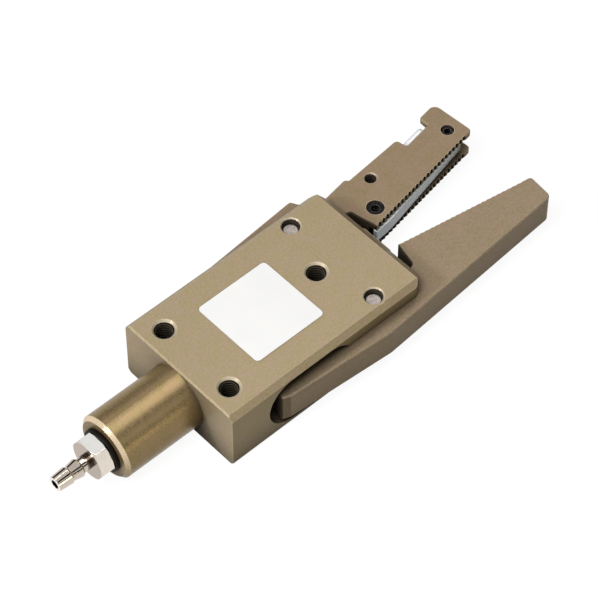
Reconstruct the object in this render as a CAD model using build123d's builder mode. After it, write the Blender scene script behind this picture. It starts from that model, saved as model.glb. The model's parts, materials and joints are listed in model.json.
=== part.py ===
from build123d import *
import os
from math import atan2, cos, radians, sin, tan

# A pneumatic sprue gripper: two pivoting levers in a flat aluminium block, closed by an air
# cylinder at the rear that drives a wedge between rollers on the lever tails.
# Millimetres. +X points from the cylinder to the jaws and +Z up. The origin is the middle of
# the block's bottom face. Each lever is drawn in its own frame: x forward from its pivot,
# y towards the centreline, z from one flat face to the other.

# Body block
block_length = 54.5
block_width = 33.0
block_height = 16.0
top_side_chamfer = 1.25
bottom_side_chamfer = 0.75
front_top_chamfer = 2.0
front_corner_cut = 2.9
front_corner_round = 1.5
rear_edge_break = 0.3
slot_wall = 4.0
window_wall = 1.5
window_run = 10.4
rear_wall = 10.1
web_width = 9.8
web_behind_pivot = 9.1
nose_reach = 1.4
nose_corner = 1.3

# Mounting threads in the block
mount_drill = 4.2
mount_sink = 5.3
rear_mount_from_rear = 5.0
rear_mount_spread = 20.0
front_mount_behind_pivot = 4.4

# Lever pivots
pivot_from_front = 11.9
pivot_spread = 25.4
pin_diameter = 4.0
pin_end_chamfer = 0.5
pin_recess = 1.5
pin_hole_sink = 0.3
bush_wall = 1.0
washer_diameter = 7.2
washer_thickness = 0.28

# Levers, shared
open_angle = 9.66
edge_break = 0.25
flank_offset = 7.2
tail_splay = 5.2
tail_end_gap = 4.0
tail_bevel = 2.0
tail_width = 4.0
neck_inner = 4.9
jaw_root_clearance = 0.6
tip_reach = 35.35
tooth_pitch = 1.33

# Right jaw
right_taper = 13.6
right_crest = 11.5
right_tooth_depth = 0.3
right_front_lean = 4.0

# Left jaw, with the slot for the sensing lever
left_crest = 12.4
left_tooth_depth = 0.36
left_taper = 5.3
left_flank_offset = 2.25
shoulder_front = 8.0
shoulder_step = 4.6
notch_front = 43.7
notch_length = 7.6
notch_floor = 3.9
tip_block_edge = 1.3
slot_height = 4.6
slot_depth = 2.2
pocket_rear = 35.2

# Sensing lever in the left jaw
strip_height = 3.2
strip_width = 1.15
strip_proud = 0.26
strip_bend = 18.4
strip_lean = 2.76
strip_root_back = 0.28
heel_reach = 1.9
heel_gap = 0.3
sensor_pivot_from_tip = 4.05
sensor_pivot_y = 8.2
sensor_screw_diameter = 3.0
stop_screw_x = 17.9
stop_screw_y = 9.0
stop_screw_diameter = 4.0
jaw_thread_x = 23.9
jaw_thread_y = 3.2
jaw_thread_drill = 2.5
jaw_thread_sink = 3.1
sensor_spring_x = 25.0

# Rollers and wedge
roller_from_tail_end = 6.0
roller_y = -1.0
roller_diameter = 5.0
roller_pin_diameter = 2.0
ear_radius = 2.1
ear_thickness = 1.7
wedge_side_gap = 0.3
wedge_rear_gap = 1.2
wedge_front_lap = 1.6
wedge_clearance = 0.15
stroke = 7.0
close_travel = 10.4

# Cylinder
tube_diameter = 15.0
tube_length = 20.1
tube_end_chamfer = 0.8
bore_diameter = 10.0
end_wall = 3.5
spigot_diameter = 13.0
spigot_length = 6.2
piston_length = 5.0
piston_rest_gap = 0.5
seal_width = 1.5
seal_depth = 1.55
rod_diameter = 4.0
guide_diameter = 6.0
guide_flange = 1.0
running_clearance = 0.04
fit_gap = 0.02

# Hose fitting
gasket_diameter = 10.2
gasket_thickness = 1.1
hex_flats = 8.8
hex_length = 3.3
hex_chamfer = 0.35
stem_diameter = 5.0
stem_length = 4.2
neck_radius = 1.7
neck_length = 2.0
barb_crest = 2.15
barb_valley = 1.75
barb_length = 2.7
barb_lead = 3.3
barb_fall = 0.45
barb_tip = 1.75
hose_bore = 2.1

# Springs
return_wire = 0.8
return_coils = 6
return_radius = 3.6
opening_wire = 0.45
opening_coils = 4
opening_radius = 1.3
opening_pocket_depth = 3.6
opening_spring_x = 6.6
sensor_wire = 0.3
sensor_coils = 3
sensor_radius = 0.85
sensor_pocket_depth = 4.0
spring_gap = 0.3

# Label
label_size = 18.6
label_corner = 1.0
label_thickness = 0.12
label_from_rear = 22.65

# Places that follow from the sizes above
block_rear = -block_length / 2
block_front = block_length / 2
mid_height = block_height / 2
pivot_x = block_front - pivot_from_front
pivot_y = pivot_spread / 2
nose_x = block_front + nose_reach
window_rear = block_rear + rear_wall
window_height = block_height - 2 * window_wall
slot_bottom = slot_wall
slot_top = block_height - slot_wall
lever_thickness = slot_top - slot_bottom - 2 * (washer_thickness + fit_gap)
wedge_thickness = lever_thickness - 2 * (ear_thickness + wedge_side_gap)
lever_bottom = mid_height - lever_thickness / 2
lever_top = mid_height + lever_thickness / 2
tail_end = window_rear + tail_end_gap - pivot_x
root_x = nose_x + jaw_root_clearance - pivot_x
tip_x = root_x + tip_reach
roller_x = tail_end + roller_from_tail_end
roller_radius = roller_diameter / 2
bush_radius = pin_diameter / 2 + bush_wall
sensor_pivot_x = tip_x - sensor_pivot_from_tip
open_turn = radians(open_angle)
through = 2 * block_width

os.makedirs("parts", exist_ok=True)


def lever_plane(side):
    """Plane of a lever's own frame, open: side is -1 for the right lever, +1 for the left."""
    height = lever_bottom if side < 0 else lever_top
    return Plane(
        origin=(pivot_x, side * pivot_y, height),
        x_dir=(cos(open_turn), side * sin(open_turn), 0),
        z_dir=(0, 0, -side),
    )


def lever_axis_plane(side, x, y):
    """Plane at the point (x, y) of a lever, looking along the lever's y, at mid thickness."""
    frame = lever_plane(side)
    spot = frame.from_local_coords(Vector(x, y, lever_thickness / 2))
    return Plane(origin=spot, x_dir=frame.x_dir, z_dir=frame.y_dir)


def rounded_outline(corners):
    """Closed outline from rows of x, y and corner radius."""
    points = [(x, y) for x, y, _ in corners]
    radii = [radius for _, _, radius in corners]
    return FilletPolyline(*points, radius=radii, close=True)


def tail_flank(x):
    """Outer side of both levers behind the pivot."""
    return -flank_offset + tan(radians(tail_splay)) * x


def tail_corners():
    """Inner neck, inner side and outer side of a tail, from the neck round to the pivot."""
    bevel_start = tail_end + tail_bevel
    tail_inner = tail_flank(tail_end) + tail_width
    return [
        (-3.5, neck_inner, 4.0),
        (-8.5, tail_flank(-8.5) + tail_width, 3.0),
        (tail_end, tail_inner, 0.8),
        (tail_end, tail_flank(bevel_start) + 0.4, 0.3),
        (bevel_start, tail_flank(bevel_start), 0.3),
    ]


def crest_edge(edge, frame, crest):
    """True for the straight edge that carries the teeth."""
    return abs(frame.to_local_coords(edge.center()).Y - crest) < 0.05


def tooth_corners(start, stop, crest, depth):
    """Zigzag of vertical V teeth from start forwards to stop, closed behind the crests."""
    count = int((stop - start) / tooth_pitch)
    corners = [(start, crest + depth)]
    for index in range(count):
        rear = start + index * tooth_pitch
        corners.append((rear, crest))
        corners.append((rear + tooth_pitch / 2, crest - depth))
    corners.append((start + count * tooth_pitch, crest))
    corners.append((start + count * tooth_pitch, crest + depth))
    return corners


def coil(frame, radius, wire, length, coils):
    """Helical spring along a plane's normal, from the plane to the given length."""
    run = length - wire
    with BuildPart() as spring:
        with BuildLine() as path:
            Helix(run / coils, run, radius)
        with BuildSketch(Plane(origin=path.line @ 0, z_dir=path.line % 0)):
            Circle(wire / 2)
        sweep(path=path.line, is_frenet=True)
    return frame * Pos(0, 0, wire / 2) * spring.part


# Body block: side windows, lever slots, centre web with its nose, threads and pivot holes
with BuildPart() as body_block:
    with BuildSketch():
        Rectangle(block_length, block_width)
    extrude(amount=block_height)
    long_edges = body_block.edges().filter_by(Axis.X)
    chamfer(long_edges.group_by(Axis.Z)[-1], top_side_chamfer)
    chamfer(body_block.edges().filter_by(Axis.X).group_by(Axis.Z)[0], bottom_side_chamfer)
    front_edges = body_block.edges().filter_by(Axis.Y).group_by(Axis.X)[-1]
    chamfer(front_edges.sort_by(Axis.Z)[-1], front_top_chamfer)
    rear_edges = body_block.edges().filter_by(Axis.Y).group_by(Axis.X)[0]
    chamfer(rear_edges.sort_by(Axis.Z)[-1], rear_edge_break)
    # Cut and rounded front corners
    with BuildSketch():
        with BuildLine():
            rounded_outline([
                (block_rear, -block_width / 2, 0),
                (block_front - front_corner_cut, -block_width / 2, front_corner_round),
                (block_front, -block_width / 2 + front_corner_cut, front_corner_round),
                (block_front, block_width / 2 - front_corner_cut, front_corner_round),
                (block_front - front_corner_cut, block_width / 2, front_corner_round),
                (block_rear, block_width / 2, 0),
            ])
        make_face()
    extrude(amount=block_height, mode=Mode.INTERSECT)
    # Side windows, one cutter width high, straight through the block
    window_mid = window_rear + (window_height + window_run) / 2
    with BuildSketch(Plane.XZ.offset(-through / 2)):
        with Locations((window_mid, mid_height)):
            SlotOverall(window_run + window_height, window_height)
    extrude(amount=through, mode=Mode.SUBTRACT)
    # Lever slots on both sides of the web
    slot_rear = window_rear + window_height / 2 + window_run
    web_rear = pivot_x - web_behind_pivot
    with BuildSketch(Plane.XY.offset(slot_bottom)):
        with BuildLine():
            Polyline(
                (slot_rear, -block_width),
                (nose_x + 1, -block_width),
                (nose_x + 1, -web_width / 2),
                (web_rear, -web_width / 2),
                (web_rear, web_width / 2),
                (nose_x + 1, web_width / 2),
                (nose_x + 1, block_width),
                (slot_rear, block_width),
                close=True,
            )
        make_face()
    extrude(amount=slot_top - slot_bottom, mode=Mode.SUBTRACT)
    # Nose of the web, standing out between the jaw roots
    with BuildSketch(Plane.XY.offset(slot_bottom)):
        with BuildLine():
            rounded_outline([
                (block_front - 1, -web_width / 2, 0),
                (nose_x, -web_width / 2, nose_corner),
                (nose_x, web_width / 2, nose_corner),
                (block_front - 1, web_width / 2, 0),
            ])
        make_face()
    extrude(amount=slot_top - slot_bottom)
    # Mounting threads, open at both faces
    rear_mount_x = block_rear + rear_mount_from_rear
    front_mount_x = pivot_x - front_mount_behind_pivot
    mount_spots = [
        (rear_mount_x, -rear_mount_spread / 2),
        (rear_mount_x, rear_mount_spread / 2),
        (front_mount_x, 0),
    ]
    sink_depth = (mount_sink - mount_drill) / 2
    with Locations(*[(x, y, block_height) for x, y in mount_spots]):
        Hole(mount_drill / 2)
    for face_height, direction in ((0, 1), (block_height, -1)):
        for x, y in mount_spots:
            with BuildSketch(Plane(origin=(x, y, face_height), z_dir=(0, 0, direction))):
                Circle(mount_sink / 2)
            extrude(amount=sink_depth, taper=45, mode=Mode.SUBTRACT)
    # Pivot pin holes, with broken edges
    pin_spots = [(pivot_x, -pivot_y), (pivot_x, pivot_y)]
    pin_hole_radius = pin_diameter / 2 + fit_gap
    with Locations(*[(x, y, block_height) for x, y in pin_spots]):
        Hole(pin_hole_radius)
    for face_height, direction in ((0, 1), (block_height, -1)):
        for x, y in pin_spots:
            with BuildSketch(Plane(origin=(x, y, face_height), z_dir=(0, 0, direction))):
                Circle(pin_hole_radius + pin_hole_sink)
            extrude(amount=pin_hole_sink, taper=45, mode=Mode.SUBTRACT)
    # Seat of the cylinder, with the guide bush beyond it
    rear_plane = Plane(origin=(block_rear, 0, mid_height), z_dir=(1, 0, 0))
    with BuildSketch(rear_plane):
        Circle(spigot_diameter / 2 + fit_gap)
    extrude(amount=spigot_length + guide_flange, mode=Mode.SUBTRACT)
    with BuildSketch(rear_plane):
        Circle(guide_diameter / 2 + fit_gap)
    extrude(amount=rear_wall + window_height / 2, mode=Mode.SUBTRACT)
    # Blind pockets for the opening springs in both sides of the web
    for side in (-1, 1):
        pocket = Plane(
            origin=(pivot_x + opening_spring_x, side * web_width / 2, mid_height),
            z_dir=(0, -side, 0),
        )
        with BuildSketch(pocket):
            Circle(opening_radius + opening_wire)
        extrude(amount=opening_pocket_depth, mode=Mode.SUBTRACT)
body_block.part.label = "body_block"
export_step(body_block.part, "parts/body_block.step")

# Label, bare, stuck on top of the block
with BuildPart() as label_plate:
    with BuildSketch(Plane.XY.offset(block_height)):
        with Locations((block_rear + label_from_rear, 0)):
            RectangleRounded(label_size, label_size, label_corner)
    extrude(amount=label_thickness)
label_plate.part.label = "label_plate"
export_step(label_plate.part, "parts/label_plate.step")

# Plane through the cylinder's axis: its x runs forward and its y is the radius
turning_plane = Plane(origin=(0, 0, mid_height), x_dir=(1, 0, 0), z_dir=(0, -1, 0))
cylinder_axis = Axis((0, 0, mid_height), (1, 0, 0))
tube_rear = block_rear - tube_length
bore_rear = tube_rear + end_wall
spigot_end = block_rear + spigot_length

# Cylinder tube: closed rear end with the fitting's thread, spigot at the front
with BuildPart() as cylinder_tube:
    with BuildSketch(turning_plane):
        with BuildLine():
            rounded_outline([
                (tube_rear, stem_diameter / 2 + fit_gap, 0),
                (tube_rear, tube_diameter / 2 - tube_end_chamfer, 0),
                (tube_rear + tube_end_chamfer, tube_diameter / 2, 0),
                (block_rear, tube_diameter / 2, 0),
                (block_rear, spigot_diameter / 2, 0),
                (spigot_end, spigot_diameter / 2, 0),
                (spigot_end, bore_diameter / 2, 0),
                (bore_rear, bore_diameter / 2, 0.3),
                (bore_rear, stem_diameter / 2 + fit_gap, 0),
            ])
        make_face()
    revolve(axis=cylinder_axis)
cylinder_tube.part.label = "cylinder_tube"
export_step(cylinder_tube.part, "parts/cylinder_tube.step")

# Flanged bronze guide for the piston rod, held between the tube and the block
guide_end = block_rear + rear_wall
with BuildPart() as rod_guide:
    with BuildSketch(turning_plane):
        with BuildLine():
            Polyline(
                (spigot_end, rod_diameter / 2 + running_clearance),
                (spigot_end, spigot_diameter / 2),
                (spigot_end + guide_flange, spigot_diameter / 2),
                (spigot_end + guide_flange, guide_diameter / 2),
                (guide_end, guide_diameter / 2),
                (guide_end, rod_diameter / 2 + running_clearance),
                close=True,
            )
        make_face()
    revolve(axis=cylinder_axis)
rod_guide.part.label = "rod_guide"
export_step(rod_guide.part, "parts/rod_guide.step")

# Gasket under the hose fitting
gasket_rear = tube_rear - gasket_thickness
with BuildPart() as fitting_gasket:
    with BuildSketch(turning_plane):
        with BuildLine():
            rounded_outline([
                (gasket_rear, stem_diameter / 2 + fit_gap, 0),
                (gasket_rear, gasket_diameter / 2, gasket_thickness / 3),
                (tube_rear, gasket_diameter / 2, gasket_thickness / 3),
                (tube_rear, stem_diameter / 2 + fit_gap, 0),
            ])
        make_face()
    revolve(axis=cylinder_axis)
fitting_gasket.part.label = "fitting_gasket"
export_step(fitting_gasket.part, "parts/fitting_gasket.step")

# Hose fitting: threaded stem, hexagon and a nipple with two barbs
hex_rear = gasket_rear - hex_length
neck_rear = hex_rear - neck_length
tip_rear = neck_rear - barb_length - barb_lead - barb_fall
with BuildPart() as hose_fitting:
    with BuildSketch(Plane(origin=(hex_rear, 0, mid_height), x_dir=(0, 1, 0), z_dir=(1, 0, 0))):
        RegularPolygon(hex_flats / 2, 6, major_radius=False)
    extrude(amount=hex_length)
    # Turned chamfers take the hexagon's corners off at both ends
    hex_corner = hex_flats / 2 / cos(radians(30))
    with BuildSketch(turning_plane):
        with BuildLine():
            Polyline(
                (hex_rear - 1, hex_flats / 2 - hex_chamfer),
                (hex_rear, hex_flats / 2),
                (hex_rear + hex_chamfer, hex_corner),
                (gasket_rear - hex_chamfer, hex_corner),
                (gasket_rear, hex_flats / 2),
                (gasket_rear + 1, hex_flats / 2 - hex_chamfer),
                (gasket_rear + 1, 0),
                (hex_rear - 1, 0),
                close=True,
            )
        make_face()
    revolve(axis=cylinder_axis, mode=Mode.INTERSECT)
    with BuildSketch(turning_plane):
        with BuildLine():
            Polyline(
                (gasket_rear + stem_length, 0),
                (gasket_rear + stem_length, stem_diameter / 2),
                (gasket_rear - hex_length / 2, stem_diameter / 2),
                (gasket_rear - hex_length / 2, neck_radius),
                (neck_rear, neck_radius),
                (neck_rear - barb_fall, barb_crest),
                (neck_rear - barb_length, barb_valley),
                (neck_rear - barb_length - barb_fall, barb_crest - 0.15),
                (tip_rear, barb_tip),
                (tip_rear, 0),
                close=True,
            )
        make_face()
    revolve(axis=cylinder_axis)
    with BuildSketch(Plane(origin=(tip_rear, 0, mid_height), z_dir=(1, 0, 0))):
        Circle(hose_bore / 2)
    extrude(amount=gasket_rear + stem_length - tip_rear, mode=Mode.SUBTRACT)
hose_fitting.part.label = "hose_fitting"
export_step(hose_fitting.part, "parts/hose_fitting.step")

# Pivot pins, pressed through both walls of the block
for name, side in (("right", -1), ("left", 1)):
    with BuildPart() as pivot_pin:
        with BuildSketch(Plane.XY.offset(pin_recess)):
            with Locations((pivot_x, side * pivot_y)):
                Circle(pin_diameter / 2)
        extrude(amount=block_height - 2 * pin_recess)
        chamfer(pivot_pin.edges().filter_by(GeomType.CIRCLE), pin_end_chamfer)
    pivot_pin.part.label = name + "_pivot_pin"
    export_step(pivot_pin.part, "parts/" + name + "_pivot_pin.step")

# Piston with a seal groove, its seal and its rod
piston_rear = bore_rear + piston_rest_gap
piston_front = piston_rear + piston_length
piston_radius = bore_diameter / 2 - running_clearance
seal_mid = (piston_rear + piston_front) / 2
with BuildPart() as piston:
    with BuildSketch(turning_plane):
        with BuildLine():
            Polyline(
                (piston_rear, rod_diameter / 4),
                (piston_rear, piston_radius),
                (seal_mid - seal_width / 2, piston_radius),
                (seal_mid - seal_width / 2, piston_radius - seal_depth),
                (seal_mid + seal_width / 2, piston_radius - seal_depth),
                (seal_mid + seal_width / 2, piston_radius),
                (piston_front, piston_radius),
                (piston_front, rod_diameter / 2),
                (seal_mid, rod_diameter / 2),
                (seal_mid, rod_diameter / 4),
                close=True,
            )
        make_face()
    revolve(axis=cylinder_axis)
piston.part.label = "piston"
export_step(piston.part, "parts/piston.step")

seal_radius = seal_width / 2 - fit_gap
with BuildPart() as piston_seal:
    with BuildSketch(turning_plane):
        with Locations((seal_mid, bore_diameter / 2 - running_clearance / 2 - seal_radius)):
            Circle(seal_radius)
    revolve(axis=cylinder_axis)
piston_seal.part.label = "piston_seal"
export_step(piston_seal.part, "parts/piston_seal.step")

# Wedge: its flanks run along the rollers as the levers close


def roller_centre(turn):
    """Centre of the right lever's roller, with the lever turned from parallel by turn."""
    x = pivot_x + roller_x * cos(turn) - roller_y * sin(turn)
    y = -pivot_y + roller_x * sin(turn) + roller_y * cos(turn)
    return x, -y


open_x, open_y = roller_centre(-open_turn)
closed_x, closed_y = roller_centre(radians(close_travel) - open_turn)
flank_angle = atan2(closed_y - open_y, open_x - (closed_x - stroke))
flank_shift = roller_radius + wedge_clearance
touch_x = open_x - flank_shift * sin(flank_angle)
touch_y = open_y - flank_shift * cos(flank_angle)
wedge_rear = window_rear + wedge_rear_gap
wedge_front = touch_x + wedge_front_lap


def wedge_half_width(x):
    """Half width of the wedge at a place along the open gripper."""
    return touch_y - (x - touch_x) * tan(flank_angle)


wedge_bottom = mid_height - wedge_thickness / 2
with BuildPart() as wedge:
    with BuildSketch(Plane.XY.offset(wedge_bottom)):
        with BuildLine():
            rounded_outline([
                (wedge_rear, -wedge_half_width(wedge_rear), 0.5),
                (wedge_front, -wedge_half_width(wedge_front), 1.0),
                (wedge_front, wedge_half_width(wedge_front), 1.0),
                (wedge_rear, wedge_half_width(wedge_rear), 0.5),
            ])
        make_face()
    extrude(amount=wedge_thickness)
    # Round boss that takes the rod's end
    boss_end = wedge_rear + rod_diameter
    with BuildSketch(Plane(origin=(wedge_rear, 0, mid_height), z_dir=(1, 0, 0))):
        Circle(rod_diameter * 0.9)
    extrude(amount=boss_end - wedge_rear)
    with BuildSketch(Plane(origin=(wedge_rear, 0, mid_height), z_dir=(1, 0, 0))):
        Circle(rod_diameter / 2 + fit_gap)
    extrude(amount=rod_diameter * 0.8, mode=Mode.SUBTRACT)
wedge.part.label = "wedge"
export_step(wedge.part, "parts/wedge.step")

rod_end = wedge_rear + rod_diameter * 0.8
with BuildPart() as piston_rod:
    with BuildSketch(turning_plane):
        with BuildLine():
            Polyline(
                (piston_rear, 0),
                (piston_rear, rod_diameter / 4 - fit_gap),
                (seal_mid, rod_diameter / 4 - fit_gap),
                (seal_mid, rod_diameter / 2 - fit_gap),
                (rod_end, rod_diameter / 2 - fit_gap),
                (rod_end, 0),
                close=True,
            )
        make_face()
    revolve(axis=cylinder_axis)
piston_rod.part.label = "piston_rod"
export_step(piston_rod.part, "parts/piston_rod.step")

# Right lever: tapered jaw with teeth, neck, tail and roller ears
right_plane = lever_plane(-1)


def right_flank(x):
    """Outer side of the right jaw."""
    return -flank_offset + tan(radians(right_taper)) * x


right_front = tip_x - 0.1
front_rake = tan(radians(right_front_lean)) * (right_crest - right_flank(right_front))
right_outline = [
    (0, -flank_offset, 3.0),
    (right_front, right_flank(right_front), 1.6),
    (right_front - front_rake, right_crest, 0.7),
    (root_x, right_crest, 0.4),
    (root_x - 0.3, neck_inner, 1.2),
]
with BuildPart() as right_lever:
    with BuildSketch(right_plane):
        with BuildLine():
            rounded_outline(right_outline + tail_corners())
        make_face()
    extrude(amount=lever_thickness)
    rims = right_lever.faces().filter_by(Axis.Z).edges()
    chamfer([rim for rim in rims if not crest_edge(rim, right_plane, right_crest)], edge_break)
    # Ears that hold the roller
    with BuildSketch(right_plane):
        with Locations((roller_x, roller_y)):
            Circle(ear_radius)
        with Locations((roller_x, (roller_y + tail_flank(roller_x) + tail_width) / 2 - 0.5)):
            Rectangle(2 * ear_radius, roller_y - tail_flank(roller_x) - tail_width + 1.0)
    extrude(amount=lever_thickness)
    with BuildSketch(right_plane.offset(ear_thickness)):
        with Locations((roller_x, roller_y)):
            Circle(roller_radius + 0.4)
        with Locations((roller_x, roller_y + roller_radius)):
            Rectangle(2 * roller_radius + 0.8, 2 * roller_radius)
    extrude(amount=lever_thickness - 2 * ear_thickness, mode=Mode.SUBTRACT)
    with BuildSketch(right_plane):
        with Locations((roller_x, roller_y)):
            Circle(roller_pin_diameter / 2 + fit_gap)
        Circle(bush_radius + fit_gap)
        with BuildLine():
            right_teeth = tooth_corners(root_x + 0.6, tip_x - 2.2, right_crest, right_tooth_depth)
            Polyline(*right_teeth, close=True)
        make_face()
    extrude(amount=lever_thickness, mode=Mode.SUBTRACT)
right_lever.part.label = "right_lever"
export_step(right_lever.part, "parts/right_lever.step")

# Left lever: shouldered root, slotted jaw for the sensing lever, notched back and clevis tip
left_plane = lever_plane(1)


def left_back(x):
    """Outer side of the left jaw, in front of the shoulder."""
    return -left_flank_offset + tan(radians(left_taper)) * x


notch_rear = notch_front - notch_length
left_outline = [
    (shoulder_front, tail_flank(shoulder_front), 0.8),
    (shoulder_front + 0.6, -shoulder_step, 0.5),
    (shoulder_front + shoulder_step, left_back(shoulder_front + 5), 1.5),
    (shoulder_front + 12.0, left_back(shoulder_front + 6), 0.8),
    (shoulder_front + 12.6, left_back(shoulder_front + 12.6) + 0.25, 0.3),
    (notch_rear, left_back(notch_rear), 0.9),
    (notch_rear, notch_floor, 0.7),
    (notch_front, notch_floor, 0.2),
    (notch_front + 0.5, tip_block_edge, 0.8),
    (tip_x + 0.4, tip_block_edge, 1.6),
    (tip_x - 0.7, left_crest, 1.1),
    (root_x, left_crest, 0.4),
    (root_x - 0.3, neck_inner, 1.2),
]
slot_bottom_local = (lever_thickness - slot_height) / 2
slot_floor = left_crest - slot_depth
sensor_pivot = (sensor_pivot_x, sensor_pivot_y)
stop_screw = (stop_screw_x, stop_screw_y)
with BuildPart() as left_lever:
    with BuildSketch(left_plane):
        with BuildLine():
            rounded_outline(left_outline + tail_corners())
        make_face()
    extrude(amount=lever_thickness)
    rims = left_lever.faces().filter_by(Axis.Z).edges()
    chamfer([rim for rim in rims if not crest_edge(rim, left_plane, left_crest)], edge_break)
    # Ears that hold the roller
    with BuildSketch(left_plane):
        with Locations((roller_x, roller_y)):
            Circle(ear_radius)
        with Locations((roller_x, (roller_y + tail_flank(roller_x) + tail_width) / 2 - 0.5)):
            Rectangle(2 * ear_radius, roller_y - tail_flank(roller_x) - tail_width + 1.0)
    extrude(amount=lever_thickness)
    with BuildSketch(left_plane.offset(ear_thickness)):
        with Locations((roller_x, roller_y)):
            Circle(roller_radius + 0.4)
        with Locations((roller_x, roller_y + roller_radius)):
            Rectangle(2 * roller_radius + 0.8, 2 * roller_radius)
    extrude(amount=lever_thickness - 2 * ear_thickness, mode=Mode.SUBTRACT)
    with BuildSketch(left_plane):
        with Locations((roller_x, roller_y)):
            Circle(roller_pin_diameter / 2 + fit_gap)
        Circle(bush_radius + fit_gap)
        with Locations(sensor_pivot):
            Circle(sensor_screw_diameter / 2 + fit_gap)
        with Locations(stop_screw):
            Circle(stop_screw_diameter / 2 + fit_gap)
        with Locations((jaw_thread_x, jaw_thread_y)):
            Circle(jaw_thread_drill / 2)
        with BuildLine():
            left_teeth = tooth_corners(root_x + 0.6, tip_x - 2.0, left_crest, left_tooth_depth)
            Polyline(*left_teeth, close=True)
        make_face()
    extrude(amount=lever_thickness, mode=Mode.SUBTRACT)
    # Countersinks of the jaw's thread
    for face_height, direction in ((0, 1), (lever_thickness, -1)):
        sink_spot = left_plane.from_local_coords(Vector(jaw_thread_x, jaw_thread_y, face_height))
        with BuildSketch(Plane(origin=sink_spot, z_dir=left_plane.z_dir * direction)):
            Circle(jaw_thread_sink / 2)
        extrude(amount=(jaw_thread_sink - jaw_thread_drill) / 2, taper=45, mode=Mode.SUBTRACT)
    # Slot for the sensing lever: shallow along the jaw, right through at the notch and tip
    with BuildSketch(left_plane.offset(slot_bottom_local)):
        with BuildLine():
            Polyline(
                (root_x - 2, slot_floor),
                (pocket_rear, slot_floor),
                (pocket_rear, 0),
                (tip_x + 2, 0),
                (tip_x + 2, left_crest + 3),
                (root_x - 2, left_crest + 3),
                close=True,
            )
        make_face()
    extrude(amount=slot_height, mode=Mode.SUBTRACT)
    # Pocket of the sensing lever's spring
    with BuildSketch(lever_axis_plane(1, sensor_spring_x, slot_floor - sensor_pocket_depth)):
        Circle(sensor_radius + sensor_wire)
    extrude(amount=sensor_pocket_depth + 0.1, mode=Mode.SUBTRACT)
left_lever.part.label = "left_lever"
export_step(left_lever.part, "parts/left_lever.step")

# Sensing lever: a flat arm along the slot, an eye for its pivot screw and a heel in the notch
strip_bottom_local = (lever_thickness - strip_height) / 2
strip_root = left_crest + strip_proud - strip_root_back
heel_edge = notch_floor - heel_reach


def strip_face(x):
    """Gripping side of the sensing lever's arm, in front of its bend."""
    return left_crest + strip_proud - tan(radians(strip_lean)) * (x - strip_bend)


strip_back = strip_face(pocket_rear + 1.0) - strip_width
eye_radius = sensor_screw_diameter / 2 + 1.0
with BuildPart() as sensing_lever:
    with BuildSketch(left_plane.offset(strip_bottom_local)):
        with BuildLine():
            rounded_outline([
                (root_x + 0.2, strip_root, 0.3),
                (strip_bend, strip_face(strip_bend), 15.0),
                (tip_x - 2.4, strip_face(tip_x - 2.4), 1.2),
                (sensor_pivot_x + eye_radius, sensor_pivot_y - eye_radius, 2.2),
                (notch_front - heel_gap, sensor_pivot_y - eye_radius, 0.3),
                (notch_front - heel_gap, heel_edge, 0.5),
                (pocket_rear + 1.6, heel_edge, 0.5),
                (pocket_rear + 1.0, strip_back, 1.0),
                (strip_bend, strip_face(strip_bend) - strip_width, 15.0),
                (root_x + 0.2, strip_root - strip_width, 0.3),
            ])
        make_face()
        with Locations(sensor_pivot):
            Circle(sensor_screw_diameter / 2 + running_clearance, mode=Mode.SUBTRACT)
    extrude(amount=strip_height)
sensing_lever.part.label = "sensing_lever"
export_step(sensing_lever.part, "parts/sensing_lever.step")

# Pivot screw of the sensing lever and the screw that stops the arm
socket_depth = 1.3
for name, spot, diameter in (
    ("sensor_pivot_screw", sensor_pivot, sensor_screw_diameter),
    ("sensor_stop_screw", stop_screw, stop_screw_diameter),
):
    with BuildPart() as set_screw:
        with BuildSketch(left_plane.offset(0.35)):
            with Locations(spot):
                Circle(diameter / 2)
        extrude(amount=lever_thickness - 0.7)
        chamfer(set_screw.edges().filter_by(GeomType.CIRCLE), 0.25)
        with BuildSketch(left_plane.offset(0.35)):
            with Locations(spot):
                RegularPolygon(diameter / 4, 6, major_radius=False)
        extrude(amount=socket_depth, mode=Mode.SUBTRACT)
    set_screw.part.label = name
    export_step(set_screw.part, "parts/" + name + ".step")

# Running gear of both levers: bush, shim washers, roller and roller pin
roller_length = lever_thickness - 2 * ear_thickness - 0.2
for name, side in (("right", -1), ("left", 1)):
    frame = lever_plane(side)
    with BuildPart() as bush:
        with BuildSketch(frame):
            Circle(bush_radius)
            Circle(pin_diameter / 2 + running_clearance, mode=Mode.SUBTRACT)
        extrude(amount=lever_thickness)
    bush.part.label = name + "_bush"
    export_step(bush.part, "parts/" + name + "_bush.step")

    with BuildPart() as washers:
        with BuildSketch(frame, frame.offset(lever_thickness + washer_thickness)):
            Circle(washer_diameter / 2)
            Circle(pin_diameter / 2 + running_clearance, mode=Mode.SUBTRACT)
        extrude(amount=-washer_thickness)
    washers.part.label = name + "_washers"
    export_step(washers.part, "parts/" + name + "_washers.step")

    with BuildPart() as roller:
        with BuildSketch(frame.offset((lever_thickness - roller_length) / 2)):
            with Locations((roller_x, roller_y)):
                Circle(roller_radius)
                Circle(roller_pin_diameter / 2 + running_clearance, mode=Mode.SUBTRACT)
        extrude(amount=roller_length)
        chamfer(roller.edges().filter_by(GeomType.CIRCLE).sort_by(SortBy.RADIUS)[-2:], 0.2)
    roller.part.label = name + "_roller"
    export_step(roller.part, "parts/" + name + "_roller.step")

    with BuildPart() as roller_pin:
        with BuildSketch(frame.offset(0.1)):
            with Locations((roller_x, roller_y)):
                Circle(roller_pin_diameter / 2)
        extrude(amount=lever_thickness - 0.2)
    roller_pin.part.label = name + "_roller_pin"
    export_step(roller_pin.part, "parts/" + name + "_roller_pin.step")

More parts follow.
